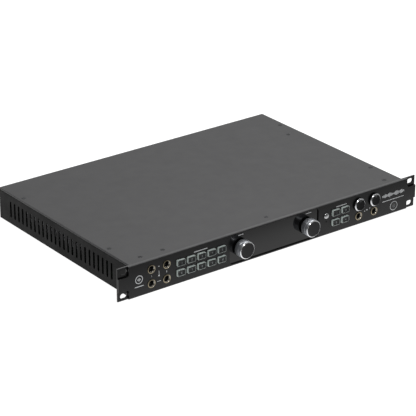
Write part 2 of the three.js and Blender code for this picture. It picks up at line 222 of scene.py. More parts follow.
def plate_into(bm, outer, holes, outer_rings, hole_rings):
    """Flat plate with holes. Rings are (y, inset) from the front face to the back; for holes the inset is into the plate."""
    first, last = [], []
    for pts, rings, sign in [(outer, outer_rings, 1.0)] + [(h, hole_rings, -1.0) for h in holes]:
        rows = []
        for y, d in rings:
            dd = [sign * q for q in d] if isinstance(d, (list, tuple)) else sign * d
            rows.append([bm.verts.new(P(x, y, z)) for x, z in inset_loop(pts, dd)])
        n = len(pts)
        for A, B in zip(rows[:-1], rows[1:]):
            for k in range(n):
                k2 = (k + 1) % n
                bm.faces.new((A[k], A[k2], B[k2], B[k]))
        for row, lst in ((rows[0], first), (rows[-1], last)):
            for k in range(n):
                lst.append(bm.edges.get((row[k], row[(k + 1) % n])))
    bmesh.ops.triangle_fill(bm, use_beauty=True, use_dissolve=False, edges=first, normal=(0, -1, 0))
    bmesh.ops.triangle_fill(bm, use_beauty=True, use_dissolve=False, edges=last, normal=(0, 1, 0))


def circle(cx, cz, r, n=56):
    return [(cx + r * math.cos(2 * math.pi * k / n), cz + r * math.sin(2 * math.pi * k / n)) for k in range(n)]


# ----------------------------------------------------------------- materials
def new_mat(name):
    m = bpy.data.materials.new(name)
    m.use_nodes = True
    nt = m.node_tree
    return m, nt, nt.nodes["Principled BSDF"]


def rgb(h, k=1.0):
    """sRGB 0-255 triple to linear."""
    out = []
    for v in h:
        v = v / 255.0
        out.append((v / 12.92 if v <= 0.04045 else ((v + 0.055) / 1.055) ** 2.4) * k)
    return tuple(out) + (1.0,)


def coord(nt, scale=(1, 1, 1)):
    tc = nt.nodes.new("ShaderNodeTexCoord")
    mp = nt.nodes.new("ShaderNodeMapping")
    mp.inputs["Scale"].default_value = scale
    nt.links.new(tc.outputs["Object"], mp.inputs["Vector"])
    return mp.outputs["Vector"]


def noise(nt, vec, scale, detail=4, rough=0.55):
    n = nt.nodes.new("ShaderNodeTexNoise")
    n.inputs["Scale"].default_value = scale
    n.inputs["Detail"].default_value = detail
    n.inputs["Roughness"].default_value = rough
    nt.links.new(vec, n.inputs["Vector"])
    return n.outputs["Fac"]


def ramp(nt, fac, c0, c1, p0=0.3, p1=0.7):
    r = nt.nodes.new("ShaderNodeValToRGB")
    r.color_ramp.elements[0].position = p0
    r.color_ramp.elements[1].position = p1
    r.color_ramp.elements[0].color = c0
    r.color_ramp.elements[1].color = c1
    nt.links.new(fac, r.inputs["Fac"])
    return r.outputs["Color"]


def rng(nt, fac, a, b, p0=0.3, p1=0.7):
    r = nt.nodes.new("ShaderNodeMapRange")
    r.inputs["From Min"].default_value = p0
    r.inputs["From Max"].default_value = p1
    r.inputs["To Min"].default_value = a
    r.inputs["To Max"].default_value = b
    nt.links.new(fac, r.inputs["Value"])
    return r.outputs["Result"]


def bump(nt, bsdf, height, strength, dist):
    b = nt.nodes.new("ShaderNodeBump")
    b.inputs["Strength"].default_value = strength
    b.inputs["Distance"].default_value = dist
    nt.links.new(height, b.inputs["Height"])
    nt.links.new(b.outputs["Normal"], bsdf.inputs["Normal"])
    return b


def surface(name, c_lo, c_hi, rough=(0.35, 0.5), metal=0.0, grain=1800.0, grain_strength=0.15, grain_dist=0.00005,
            blotch=18.0, spec=0.5, coat=0.0, coat_rough=0.1, stretch=(1, 1, 1), ior=1.5, wear=None):
    """A finish with slow colour drift, roughness drift and a fine grain."""
    m, nt, b = new_mat(name)
    v = coord(nt)
    vs = coord(nt, stretch)
    slow = noise(nt, v, blotch, 3)
    fine = noise(nt, vs, grain, 3, 0.6)
    mix = nt.nodes.new("ShaderNodeMix")
    mix.data_type = "RGBA"
    mix.blend_type = "MIX"
    mix.inputs["Factor"].default_value = 0.45
    nt.links.new(ramp(nt, slow, c_lo, c_hi), mix.inputs["A"])
    nt.links.new(ramp(nt, fine, c_lo, c_hi), mix.inputs["B"])
    col = mix.outputs["Result"]
    if wear:
        geo = nt.nodes.new("ShaderNodeNewGeometry")
        wfac = rng(nt, geo.outputs["Pointiness"], 0.0, 1.0, 0.56, 0.68)
        brk = noise(nt, v, 160.0, 4)
        mul = nt.nodes.new("ShaderNodeMath")
        mul.operation = "MULTIPLY"
        nt.links.new(wfac, mul.inputs[0])
        nt.links.new(rng(nt, brk, 0.0, 0.7, 0.45, 0.7), mul.inputs[1])
        mx = nt.nodes.new("ShaderNodeMix")
        mx.data_type = "RGBA"
        nt.links.new(mul.outputs[0], mx.inputs["Factor"])
        nt.links.new(col, mx.inputs["A"])
        mx.inputs["B"].default_value = wear
        col = mx.outputs["Result"]
    nt.links.new(col, b.inputs["Base Color"])
    slow2 = noise(nt, v, blotch * 2.3, 4)
    nt.links.new(rng(nt, slow2, rough[0], rough[1]), b.inputs["Roughness"])
    b.inputs["Metallic"].default_value = metal
    b.inputs["Specular IOR Level"].default_value = spec
    b.inputs["IOR"].default_value = ior
    if coat:
        b.inputs["Coat Weight"].default_value = coat
        b.inputs["Coat Roughness"].default_value = coat_rough
    bump(nt, b, fine, grain_strength, grain_dist)
    return m


def turned_metal(name, c_lo, c_hi, rough, cx, cz, lines=9000.0, metal=1.0):
    """Machined metal: fine rings round the axis at (cx, cz)."""
    m, nt, b = new_mat(name)
    tc = nt.nodes.new("ShaderNodeTexCoord")
    sep = nt.nodes.new("ShaderNodeSeparateXYZ")
    nt.links.new(tc.outputs["Object"], sep.inputs[0])

    def math_node(op, a, bb=None):
        n = nt.nodes.new("ShaderNodeMath")
        n.operation = op
        for k, q in enumerate((a, bb)):
            if q is None:
                continue
            if isinstance(q, (int, float)):
                n.inputs[k].default_value = q
            else:
                nt.links.new(q, n.inputs[k])
        return n.outputs[0]
    dx = math_node("SUBTRACT", sep.outputs["X"], cx / 1000.0)
    dz = math_node("SUBTRACT", sep.outputs["Z"], cz / 1000.0)
    r = math_node("SQRT", math_node("ADD", math_node("MULTIPLY", dx, dx), math_node("MULTIPLY", dz, dz)))
    comb = nt.nodes.new("ShaderNodeCombineXYZ")
    nt.links.new(r, comb.inputs[0])
    nt.links.new(sep.outputs["Y"], comb.inputs[1])
    n = nt.nodes.new("ShaderNodeTexNoise")
    n.inputs["Scale"].default_value = lines
    n.inputs["Detail"].default_value = 2
    nt.links.new(comb.outputs[0], n.inputs["Vector"])
    nt.links.new(ramp(nt, n.outputs["Fac"], c_lo, c_hi), b.inputs["Base Color"])
    v = coord(nt)
    nt.links.new(rng(nt, noise(nt, v, 220.0, 4), rough[0], rough[1]), b.inputs["Roughness"])
    b.inputs["Metallic"].default_value = metal
    b.inputs["Anisotropic"].default_value = 0.4
    bump(nt, b, n.outputs["Fac"], 0.12, 0.00004)
    return m


PANEL = surface("panel_black", rgb((8, 8, 9)), rgb((13, 13, 14)), (0.26, 0.34), grain=2600, grain_strength=0.18, spec=0.3)
# Lighter copy of the panel black for the upward-facing top strip: painted highlight, the light from above painted into
# its colour.
PANEL_TOP_PAINTED_HIGHLIGHT = surface("panel_top_painted_highlight", rgb((68, 68, 69)), rgb((90, 90, 91)), (0.28, 0.38), grain=2600, grain_strength=0.15, spec=0.45)
# Lighter copy of the panel black for the downward-facing bottom strip at the front: painted highlight, the reflection
# of the bright floor on the rounded edge painted into its colour.
PANEL_LOW_PAINTED_HIGHLIGHT = surface("panel_low_painted_highlight", rgb((112, 112, 113)), rgb((142, 142, 143)), (0.28, 0.38), grain=2600, grain_strength=0.15, spec=0.5)
COVER = surface("cover_charcoal", rgb((60, 60, 61)), rgb((65, 65, 66)), (0.46, 0.52), grain=2200, grain_strength=0.25, blotch=22.0)
SIDE = surface("side_black", rgb((12, 12, 12)), rgb((18, 18, 18)), (0.42, 0.55), grain=2200, grain_strength=0.25, spec=0.08)
REAR = surface("rear_black", rgb((22, 22, 23)), rgb((31, 31, 32)), (0.42, 0.55), grain=2200, grain_strength=0.25)
GLASS = surface("display_gloss", rgb((8, 8, 9)), rgb((12, 12, 13)), (0.015, 0.04), grain=300, grain_strength=0.01, grain_dist=0.00001, ior=1.46, coat=0.0)
BLACKP = surface("plastic_black", rgb((20, 20, 21)), rgb((30, 30, 31)), (0.42, 0.6), grain=1500, grain_strength=0.2)
BORE = surface("bore_dark", rgb((6, 6, 6)), rgb((12, 12, 12)), (0.5, 0.7), grain=900, grain_strength=0.1)
GOLD = surface("gold_ring", rgb((150, 140, 118)), rgb((178, 166, 142)), (0.2, 0.32), metal=1.0, grain=3000, grain_strength=0.05)
CHROME = surface("chrome_dome", rgb((176, 177, 178)), rgb((196, 197, 198)), (0.14, 0.24), metal=1.0, grain=1500, grain_strength=0.03)
NICKEL = surface("nickel", rgb((170, 170, 168)), rgb((196, 196, 194)), (0.22, 0.36), metal=1.0, grain=2600, grain_strength=0.08)
MOUTH = surface("jack_mouth", rgb((136, 134, 128)), rgb((166, 163, 156)), (0.2, 0.3), metal=1.0, grain=2600, grain_strength=0.06)
ZINC = surface("zinc_steel", rgb((140, 142, 144)), rgb((172, 173, 175)), (0.3, 0.45), metal=1.0, grain=1200, grain_strength=0.12)
SCREW = surface("screw_black", rgb((36, 36, 38)), rgb((60, 60, 62)), (0.3, 0.42), metal=0.6, grain=2500, grain_strength=0.1)
BTN = surface("button_frosted", rgb((196, 208, 204)), rgb((212, 222, 218)), (0.3, 0.42), grain=2400, grain_strength=0.08, coat=0.2)
BTNFACE = surface("button_face", rgb((24, 26, 26)), rgb((36, 38, 38)), (0.34, 0.46), grain=2600, grain_strength=0.15, spec=0.25)
INK = surface("ink_pale", rgb((196, 198, 200)), rgb((214, 216, 218)), (0.5, 0.65), grain=2000, grain_strength=0.1)
INKDIM = surface("ink_dim", rgb((120, 124, 126)), rgb((140, 144, 146)), (0.5, 0.65), grain=2000, grain_strength=0.1)
GREEN = surface("board_green", rgb((18, 60, 34)), rgb((26, 76, 44)), (0.4, 0.55), grain=900, grain_strength=0.3)
KNOBFACE = surface("knob_face_dark", rgb((22, 22, 24)), rgb((29, 29, 31)), (0.36, 0.46), grain=3200, grain_strength=0.12, spec=0.28)
PHFACE = surface("phones_face_black", rgb((10, 10, 11)), rgb((16, 16, 17)), (0.42, 0.52), grain=3000, grain_strength=0.12, spec=0.12)
ORANGE = surface("ring_orange", rgb((196, 96, 24)), rgb((214, 110, 34)), (0.4, 0.5), grain=1500, grain_strength=0.1)

# CAD nodes that stay get the same finishes
for n, m in (("bottom_plate", SIDE), ("main_board", GREEN), ("input_switch_board", GREEN), ("output_switch_board", GREEN),
             ("power_supply", ZINC), ("display_module", BLACKP), ("input_encoder", ZINC), ("output_encoder", ZINC),
             ("phones_pot_1", ZINC), ("phones_pot_2", ZINC), ("input_knob_shaft", ZINC), ("output_knob_shaft", ZINC)):
    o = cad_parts[n]
    o.data.materials.clear()
    o.data.materials.append(m)

# -------------------------------------------------------------------- camera
cam_data = bpy.data.cameras.new("camera")
cam = link(bpy.data.objects.new("camera", cam_data))
right = Vector((0.7971282928279297, -0.6038076941341395, 0.0016593003476253582))
up = Vector((0.24459857909120197, 0.32542153721733297, 0.9133851094810299))
fwd = Vector((0.5520489288820288, 0.7276792505077505, -0.4070932184410389))
rot = Matrix((right, up, -fwd)).transposed().to_4x4()
cam.matrix_world = Matrix.Translation((-1.46197, -1.93753, 1.08964)) @ rot
cam_data.sensor_width = 36.0
cam_data.lens = 36.0 * 2000.45 / 416.0
cam_data.clip_end = 60.0
scene.camera = cam
scene.view_settings.view_transform = "Standard"
scene.view_settings.look = "None"
scene.view_settings.exposure = 0.0
scene.view_settings.gamma = 1.0

# --------------------------------------------------------------------- stage
FLOOR_NEAR = 1.0
FLOOR_FAR = 0.12
bm = bmesh.new()
bmesh.ops.create_grid(bm, x_segments=2, y_segments=2, size=9.0)
me = bpy.data.meshes.new("floor")
bm.to_mesh(me)
bm.free()
floor = link(bpy.data.objects.new("floor", me))
floor.location = (0, 0, -0.0005)
fm, nt, b = new_mat("floor_white")
b.inputs["Base Color"].default_value = (0.3, 0.3, 0.3, 1)
b.inputs["Roughness"].default_value = 0.9
b.inputs["Specular IOR Level"].default_value = 0.0
b.inputs["Emission Color"].default_value = (1, 1, 1, 1)
b.inputs["Emission Strength"].default_value = 0.97
me.materials.append(fm)
floor.visible_diffuse = False
floor.visible_glossy = False
# a second sheet, seen only in bounce light, falls off in front of the unit
bounce = link(bpy.data.objects.new("bounce_sheet", me.copy()))
bounce.location = (0, 0, -0.0007)
bounce.visible_camera = False
bm_, nt, b = new_mat("bounce_white")
b.inputs["Base Color"].default_value = (0.3, 0.3, 0.3, 1)
b.inputs["Roughness"].default_value = 0.9
b.inputs["Specular IOR Level"].default_value = 0.0
tc = nt.nodes.new("ShaderNodeTexCoord")
sep = nt.nodes.new("ShaderNodeSeparateXYZ")
nt.links.new(tc.outputs["Object"], sep.inputs[0])
mr = nt.nodes.new("ShaderNodeMapRange")
mr.interpolation_type = "SMOOTHSTEP"
mr.inputs["From Min"].default_value = -0.275
mr.inputs["From Max"].default_value = -0.15
mr.inputs["To Min"].default_value = FLOOR_FAR
mr.inputs["To Max"].default_value = FLOOR_NEAR
nt.links.new(sep.outputs["Y"], mr.inputs["Value"])
b.inputs["Emission Color"].default_value = (1, 1, 1, 1)
nt.links.new(mr.outputs["Result"], b.inputs["Emission Strength"])
bounce.data.materials.clear()
bounce.data.materials.append(bm_)

world = bpy.data.worlds.new("studio")
scene.world = world
world.use_nodes = True
wn = world.node_tree
bg = wn.nodes["Background"]
tc = wn.nodes.new("ShaderNodeTexCoord")
dot = wn.nodes.new("ShaderNodeVectorMath")
dot.operation = "DOT_PRODUCT"
dot.inputs[1].default_value = (0.45, 0.80, 0.40)     # brighter towards the back and the right
wn.links.new(tc.outputs["Generated"], dot.inputs[0])
mr = wn.nodes.new("ShaderNodeMapRange")
mr.inputs["From Min"].default_value = -0.5
mr.inputs["From Max"].default_value = 1.0
mr.inputs["To Min"].default_value = 0.10
mr.inputs["To Max"].default_value = 0.62
wn.links.new(dot.outputs["Value"], mr.inputs["Value"])
wn.links.new(mr.outputs["Result"], bg.inputs["Strength"])
bg.inputs["Color"].default_value = (1, 1, 1, 1)


def area(name, loc, target, size, radiance, size_y=None):
    d = bpy.data.lights.new(name, "AREA")
    d.size = size
    if size_y:
        d.shape = "RECTANGLE"
        d.size_y = size_y
    d.energy = radiance * math.pi * size * (size_y or size)
    o = link(bpy.data.objects.new(name, d))
    o.location = loc
    o.rotation_euler = (Vector(target) - Vector(loc)).to_track_quat("-Z", "Y").to_euler()
    return o


area("top_softbox", (0.9, 0.5, 1.9), (0.1, 0.1, 0), 1.4, 3.2)
area("front_softbox", (-0.45, -1.8, 1.65), (0, -0.1, 0.02), 0.42, 30.0)

# ------------------------------------------------------- sheets of the chassis
PW, PZ0, PZ1, PT = 241.3, 0.2, 44.2, 4.8
PX, PD, PN, PR = 226.3, 2.6, 12.9, 3.0        # milled pockets at the corners


def pocket_arc(sx, cz, a0, a1, n=8):
    return [(sx * (PX + PR) + PR * math.cos(math.radians(a0 + (a1 - a0) * k / n)), cz + PR * math.sin(math.radians(a0 + (a1 - a0) * k / n))) for k in range(n + 1)]


outline = [(-PX, PZ0), (PX, PZ0)] + pocket_arc(1, PZ0 + PN - PR, 180, 90) + [(PW, PZ0 + PN), (PW, PZ1 - PN)]
outline += pocket_arc(1, PZ1 - PN + PR, 270, 180) + [(PX, PZ1), (-PX, PZ1)]
outline += pocket_arc(-1, PZ1 - PN + PR, 0, -90) + [(-PW, PZ1 - PN), (-PW, PZ0 + PN)] + pocket_arc(-1, PZ0 + PN - PR, 90, 0)
openings = [rrect(0, 22.2, 144.2, 39.2, 4.0, 10)]
for bx in (-148.8, -133.0, -117.2, -101.4, -85.6, 100.9, 116.9):
    for bz in (28.7, 15.0):
        openings.append(rrect(bx, bz, 12.7, 9.0, 1.5, 6))
for jx, jz in ((-193.0, 31.9), (-193.0, 12.5), (-170.0, 31.9), (-170.0, 12.5), (141.0, 12.5), (167.8, 12.5)):
    openings.append(circle(jx, jz, 4.85))
for jx, jz, jr in ((141.0, 29.3, 3.6), (167.8, 29.3, 3.6), (85.4, 27.5, 4.3), (85.4, 19.4, 0.9), (202.9, 10.9, 5.6)):
    openings.append(circle(jx, jz, jr, 40 if jr > 1 else 20))
slots = [rrect(sx * 232.55, 22.2 + sz * 15.875, 10.3, 6.8, 3.38, 12) for sx in (-1, 1) for sz in (-1, 1)]


def long_edges(wide, other):
    """A wider chamfer along the top and bottom edges, a small one elsewhere."""
    out = []
    for k in range(len(outline)):
        (xa, za), (xb, zb) = outline[k], outline[(k + 1) % len(outline)]
        out.append(wide if abs(xa - xb) > 400 else other)
    return out


bm = bmesh.new()
plate_into(bm, outline, openings,
           [(0.0, long_edges(0.7, 0.26)), (0.03, long_edges(0.67, 0.14)), (0.1, long_edges(0.6, 0.05)), (0.26, long_edges(0.44, 0.0)), (0.7, 0.0), (PD + 0.05, 0.0)],
           [(0.0, 0.2), (0.03, 0.1), (0.1, 0.03), (0.2, 0.0), (PD + 0.05, 0.0)])
plate_into(bm, [(-PW, PZ0), (PW, PZ0), (PW, PZ1), (-PW, PZ1)], openings + slots,
           [(PD, 0.22), (PD + 0.06, 0.07), (PD + 0.22, 0.0), (PT - 0.15, 0.0), (PT, 0.15)],
           [(PD, 0.22), (PD + 0.06, 0.07), (PD + 0.22, 0.0), (PT - 0.15, 0.0), (PT, 0.15)])
PANEL_O = finish_mesh("front_panel_skin", bm, PANEL, "chassis", 50, "front_panel")
# The top strip gets the painted-highlight copy of the panel black (light from above painted in).
PANEL_O.data.materials.append(PANEL_TOP_PAINTED_HIGHLIGHT)
# The front bottom strip gets the painted-highlight copy (floor reflection painted in).
PANEL_O.data.materials.append(PANEL_LOW_PAINTED_HIGHLIGHT)
for q in PANEL_O.data.polygons:
    if max(abs(q.normal.x), abs(q.normal.y), abs(q.normal.z)) > 0.9995:
        q.use_smooth = False
    # Upward faces along the top edge: painted-highlight strip.
    top = q.normal.z > 0.6 and q.center.z > P(0, 0, 43.3).z
    # Downward faces along the front bottom edge: painted floor-reflection highlight strip.
    low = q.normal.z < -0.6 and q.center.z < P(0, 0, 1.0).z and q.center.y < P(0, 0.68, 0).y
    if top or low:
        q.material_index = 1 if top else 2
bevelled("top_cover", 0.3, COVER, "chassis")
bevelled("side_panel_left", 0.18, SIDE, "chassis")
bevelled("side_panel_right", 0.18, SIDE, "chassis")
bevelled("rear_panel", 0.18, REAR, "chassis")
bevelled("display_window", 0.25, GLASS, "chassis")

lo_c, hi_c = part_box("top_cover")
TOPZ = hi_c.z * 1000.0


def top_screw(i, x, y):
    """Flush countersunk screw in the cover, with a six-sided socket."""
    bm = bmesh.new()
    z0 = TOPZ
    seg = 36
    prof = [(3.1, 0.00), (3.0, 0.10), (2.65, 0.12), (2.55, 0.02), (2.45, 0.16), (2.2, 0.24), (1.35, 0.24)]
    rings = []
    for r, a in prof:
        rings.append([bm.verts.new(P(x + r * math.cos(2 * math.pi * k / seg), y + r * math.sin(2 * math.pi * k / seg), z0 + a)) for k in range(seg)])
    hexr = []
    for k in range(seg):
        a = 2 * math.pi * k / seg
        m = (a + math.pi / 6) % (math.pi / 3) - math.pi / 6
        rr = 1.05 / math.cos(m)
        hexr.append((rr * math.cos(a), rr * math.sin(a)))
    rings.append([bm.verts.new(P(x + u, y + w, z0 + 0.2)) for u, w in hexr])
    rings.append([bm.verts.new(P(x + u * 0.96, y + w * 0.96, z0 + 0.03)) for u, w in hexr])
    for A, B in zip(rings[:-1], rings[1:]):
        for k in range(seg):
            k2 = (k + 1) % seg
            bm.faces.new((A[k], A[k2], B[k2], B[k]))
    bm.faces.new(rings[-1])
    bm.faces.new(list(reversed(rings[0])))
    finish_mesh("cover_screw_%d" % i, bm, SCREW, "chassis")


for i, (x, y) in enumerate([(-197, 17.7), (-163, 17.7), (0, 17.9), (199.6, 16.8), (-213.5, 60), (-215, 253.4), (213.5, 253.2), (200.5, 219), (213.5, 60)]):
    top_screw(i + 1, x, y)

# -------------------------------------------------------------------- buttons
BW, BH = 12.0, 8.3


def digit_strokes(ch):
    seg7 = {"1": "bc", "2": "abged", "3": "abgcd", "4": "fgbc", "5": "afgcd", "6": "afgedc", "7": "abc", "8": "abcdefg", "9": "abcdfg", "0": "abcdef"}
    w, h = 1.0, 2.0
    S = {"a": ((0, h), (w, h)), "b": ((w, h), (w, h / 2)), "c": ((w, h / 2), (w, 0)), "d": ((0, 0), (w, 0)), "e": ((0, h / 2), (0, 0)), "f": ((0, h), (0, h / 2)), "g": ((0, h / 2), (w, h / 2))}
    return [S[k] for k in seg7[ch]]


def strokes_into(bm, segs, cx, cz, scale, t, y0, y1):
    """Strokes of even width as one closed block, built cell by cell so that nothing overlaps."""
    rects = []
    for (x0, z0), (x1, z1) in segs:
        xa, xb = sorted((x0, x1))
        za, zb = sorted((z0, z1))
        rects.append((round(xa * scale - t / 2, 5), round(xb * scale + t / 2, 5), round(za * scale - t / 2, 5), round(zb * scale + t / 2, 5)))
    xs = sorted({v for r in rects for v in r[:2]})
    zs = sorted({v for r in rects for v in r[2:]})
    full = set()
    for i in range(len(xs) - 1):
        for j in range(len(zs) - 1):
            mx, mz = (xs[i] + xs[i + 1]) / 2, (zs[j] + zs[j + 1]) / 2
            if any(r[0] < mx < r[1] and r[2] < mz < r[3] for r in rects):
                full.add((i, j))
    made = {}

    def vert(i, j, k):
        if (i, j, k) not in made:
            made[(i, j, k)] = bm.verts.new(P(cx + xs[i], (y0, y1)[k], cz + zs[j]))
        return made[(i, j, k)]
    for i, j in sorted(full):
        for k in (0, 1):
            bm.faces.new((vert(i, j, k), vert(i + 1, j, k), vert(i + 1, j + 1, k), vert(i, j + 1, k)))
        for (di, dj), (p, q) in (((-1, 0), ((i, j), (i, j + 1))), ((1, 0), ((i + 1, j), (i + 1, j + 1))), ((0, -1), ((i, j), (i + 1, j))), ((0, 1), ((i, j + 1), (i + 1, j + 1)))):
            if (i + di, j + dj) not in full:
                bm.faces.new((vert(p[0], p[1], 0), vert(q[0], q[1], 0), vert(q[0], q[1], 1), vert(p[0], p[1], 1)))


def numeral(name, text, cx, cz, height, t, yf, mat, body):
    bm = bmesh.new()
    k = height / 2.0
    w = len(text) * k + (len(text) - 1) * k * 0.7
    x = cx - w / 2
    for ch in text:
        strokes_into(bm, digit_strokes(ch), x, cz - height / 2, k, t, yf - 0.03, yf + 0.05)
        x += 1.7 * k
    return finish_mesh(name, bm, mat, body)


def push_button(node, text):
    lo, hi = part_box(node)
    cx = (lo.x + hi.x) * 500.0
    cz = (lo.z + hi.z) * 500.0
    front = lo.y * 1000.0 - Y0
    back = hi.y * 1000.0 - Y0
    bm = bmesh.new()
    steps = [(back, 0.0), (front + 0.5, 0.0)] + fillet(front + 0.12, 0.38, 0.0, 4)[1:] + [(front + 0.3, 0.75)]
    slab_into(bm, cx, cz, BW, BH, 1.2, steps, 6)
    slab_into(bm, cx, cz, BW + 1.8, BH + 1.8, 0.6, [(5.2, 0.0), (6.2, 0.0)], 2)
    finish_mesh(node + "_body", bm, BTN, node, 40, node)
    slab(node + "_face", cx, cz, BW - 0.8, BH - 0.8, 0.8, [(front + 0.31, 0.0), (front + 0.16, 0.0), (front + 0.04, 0.14), (front, 0.4), (front, 1.5), (front + 0.12, 1.75)], BTNFACE, node, 5, 50)
    numeral(node + "_mark", text, cx, cz, 2.3, 0.42, front + 0.1, INKDIM, node)


for k in range(1, 11):
    push_button("input_button_%d" % k, str(k))
for k in range(1, 5):
    push_button("output_button_%d" % k, str(k))

# ---------------------------------------------------------------- large knobs
for tag in ("input", "output"):
    node = tag + "_knob"
    lo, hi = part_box(node)
    cx = (lo.x + hi.x) * 500.0
    cz = (lo.z + hi.z) * 500.0
    R = (hi.x - lo.x) * 500.0
    f = lo.y * 1000.0 - Y0
    e = hi.y * 1000.0 - Y0
    bk = -0.8
    metal = turned_metal("knob_side_" + tag, rgb((150, 153, 158)), rgb((178, 181, 186)), (0.30, 0.42), cx, cz, metal=0.72)
    ring = turned_metal("knob_ring_" + tag, rgb((232, 233, 235)), rgb((246, 246, 248)), (0.16, 0.24), cx, cz)
    side = [(3.3, f + 2.6), (3.3, e), (6.0, e), (6.0, bk + 0.3), (6.3, bk), (R - 0.5, bk), (R - 0.15, bk + 0.12), (R, bk - 0.5)]
    g = f + 5.2
    side = [(0.0, f + 2.6), (3.3, f + 2.6), (3.3, e - 0.2), (3.5, e), (5.8, e), (6.0, e - 0.2), (6.0, bk + 0.25), (6.3, bk),
            (R - 0.45, bk), (R - 0.12, bk - 0.12), (R, bk - 0.45), (R, g + 0.5), (R - 0.1, g + 0.42), (R - 0.32, g + 0.2), (R - 0.32, g - 0.2), (R - 0.1, g - 0.42), (R, g - 0.5),
            (R, f + 1.0), (R - 0.05, f + 0.92), (R - 0.2, f + 0.8), (R - 2.0, f + 0.8), (0.0, f + 0.8)]
    lathe(node + "_cap", cx, cz, side, metal, node, 96, 32, node)
    edge = [(R - 0.3, f + 1.2), (R, f + 1.15), (R, f + 1.02), (R - 0.04, f + 0.95), (R - 0.92, f + 0.06), (R - 1.0, f + 0.03), (R - 1.12, f + 0.08), (R - 1.12, f + 1.2), (R - 0.3, f + 1.2)]
    lathe(node + "_edge", cx, cz, edge, ring, node, 96, 50)
    face = [(0.0, f + 0.34), (R - 3.4, f + 0.3), (R - 1.9, f + 0.22), (R - 1.3, f + 0.12), (R - 1.14, f + 0.16), (R - 1.14, f + 0.79), (0.0, f + 0.79)]
    lathe(node + "_face", cx, cz, face, KNOBFACE, node, 96, 20)

# --------------------------------------------------------------- phones knobs
for k in (1, 2):
    node = "phones_knob_%d" % k
    lo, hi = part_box(node)
    cx = (lo.x + hi.x) * 500.0
    cz = (lo.z + hi.z) * 500.0
    R = (hi.x - lo.x) * 500.0
    f = lo.y * 1000.0 - Y0
    body = turned_metal("phones_side_%d" % k, rgb((12, 12, 13)), rgb((20, 20, 21)), (0.36, 0.46), cx, cz, metal=0.1)
    ring = turned_metal("phones_edge_%d" % k, rgb((206, 207, 209)), rgb((222, 223, 225)), (0.18, 0.26), cx, cz)
    prof = [(0.0, 12.0), (2.7, 12.0), (3.0, 11.7), (3.0, -0.5), (R - 0.25, -0.5), (R, -0.75), (R, f + 1.45), (R - 0.25, f + 1.4), (R - 1.5, f + 0.9), (0.0, f + 0.9)]
    lathe(node + "_cap", cx, cz, prof, body, node, 72, 32, node)
    edge = [(R - 0.3, f + 1.6), (R, f + 1.55), (R, f + 1.38), (R - 0.04, f + 1.32), (R - 1.26, f + 0.1), (R - 1.34, f + 0.06), (R - 1.46, f + 0.12), (R - 1.46, f + 1.6), (R - 0.3, f + 1.6)]
    lathe(node + "_edge", cx, cz, edge, ring, node, 72, 50)
    face = [(0.0, f + 0.4), (R - 2.8, f + 0.34), (R - 1.6, f + 0.2), (R - 1.48, f + 0.24), (R - 1.48, f + 0.9), (0.0, f + 0.9)]
    lathe(node + "_face", cx, cz, face, PHFACE, node, 72, 20)
    slab(node + "_pointer", cx, cz + R - 3.4, 0.6, 2.4, 0.28, [(f + 0.5, 0.0), (f + 0.34, 0.0), (f + 0.3, 0.08)], INKDIM, node, 3)

# ---------------------------------------------------------------- front jacks
for node in ["instrument_jack_%d" % k for k in (1, 2, 3, 4)] + ["phones_jack_1", "phones_jack_2"]:
    lo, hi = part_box(node)
    cx = (lo.x + hi.x) * 500.0
    cz = (lo.z + hi.z) * 500.0
    f = lo.y * 1000.0 - Y0
    R = 5.65
    ringp = [(4.74, f + 0.5), (4.7, f + 0.12), (4.8, f), (R - 0.32, f), (R - 0.1, f + 0.1), (R, f + 0.34), (R, -0.05), (4.8, -0.05), (4.8, f + 0.7), (4.74, f + 0.5)]
    lathe(node + "_nut", cx, cz, ringp, GOLD, "chassis", 64, 40)
    mouth = [(3.5, 5.0), (3.5, 0.9), (3.62, 0.6), (4.4, f + 0.3), (4.55, f + 0.2), (4.66, f + 0.4), (4.72, f + 0.72), (4.72, 5.0), (3.5, 5.0)]
    lathe(node + "_mouth", cx, cz, mouth, MOUTH, "chassis", 64, 40)
    bm = bmesh.new()
    lathe_into(bm, cx, cz, [(0.0, 26.0), (3.2, 26.0), (3.2, 5.4), (3.46, 5.1), (3.46, 1.6), (3.49, 1.6), (3.49, 5.02), (4.55, 5.05), (4.55, 27.5), (0.0, 27.5)], 48)
    finish_mesh(node + "_bore", bm, BORE, "chassis", 32, node)
    # housing behind the panel
    bm = bmesh.new()
    slab_into(bm, cx, cz, 14.0, 15.0, 1.0, [(5.4, 0.3), (5.7, 0.0), (27.7, 0.0), (28.0, 0.3)], 3)
    finish_mesh(node + "_housing", bm, BLACKP, "chassis", 32)

# ---------------------------------------------------- talkback and power buttons
lo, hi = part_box("talkback_button")
cx, cz = (lo.x + hi.x) * 500.0, (lo.z + hi.z) * 500.0
f = lo.y * 1000.0 - Y0
R = 4.0
dome = [(0.0, f)] + [(R * math.sin(a), f + (2.15) * (1 - math.cos(a))) for a in [math.pi / 2 * k / 12 for k in range(1, 13)]]
dome += [(R, 5.2), (R + 1, 5.2), (R + 1, 6.2), (2, 6.2), (2, 8.0), (0, 8.0)]
lathe("talkback_button_dome", cx, cz, dome, CHROME, "talkback_button", 48, 32, "talkback_button")

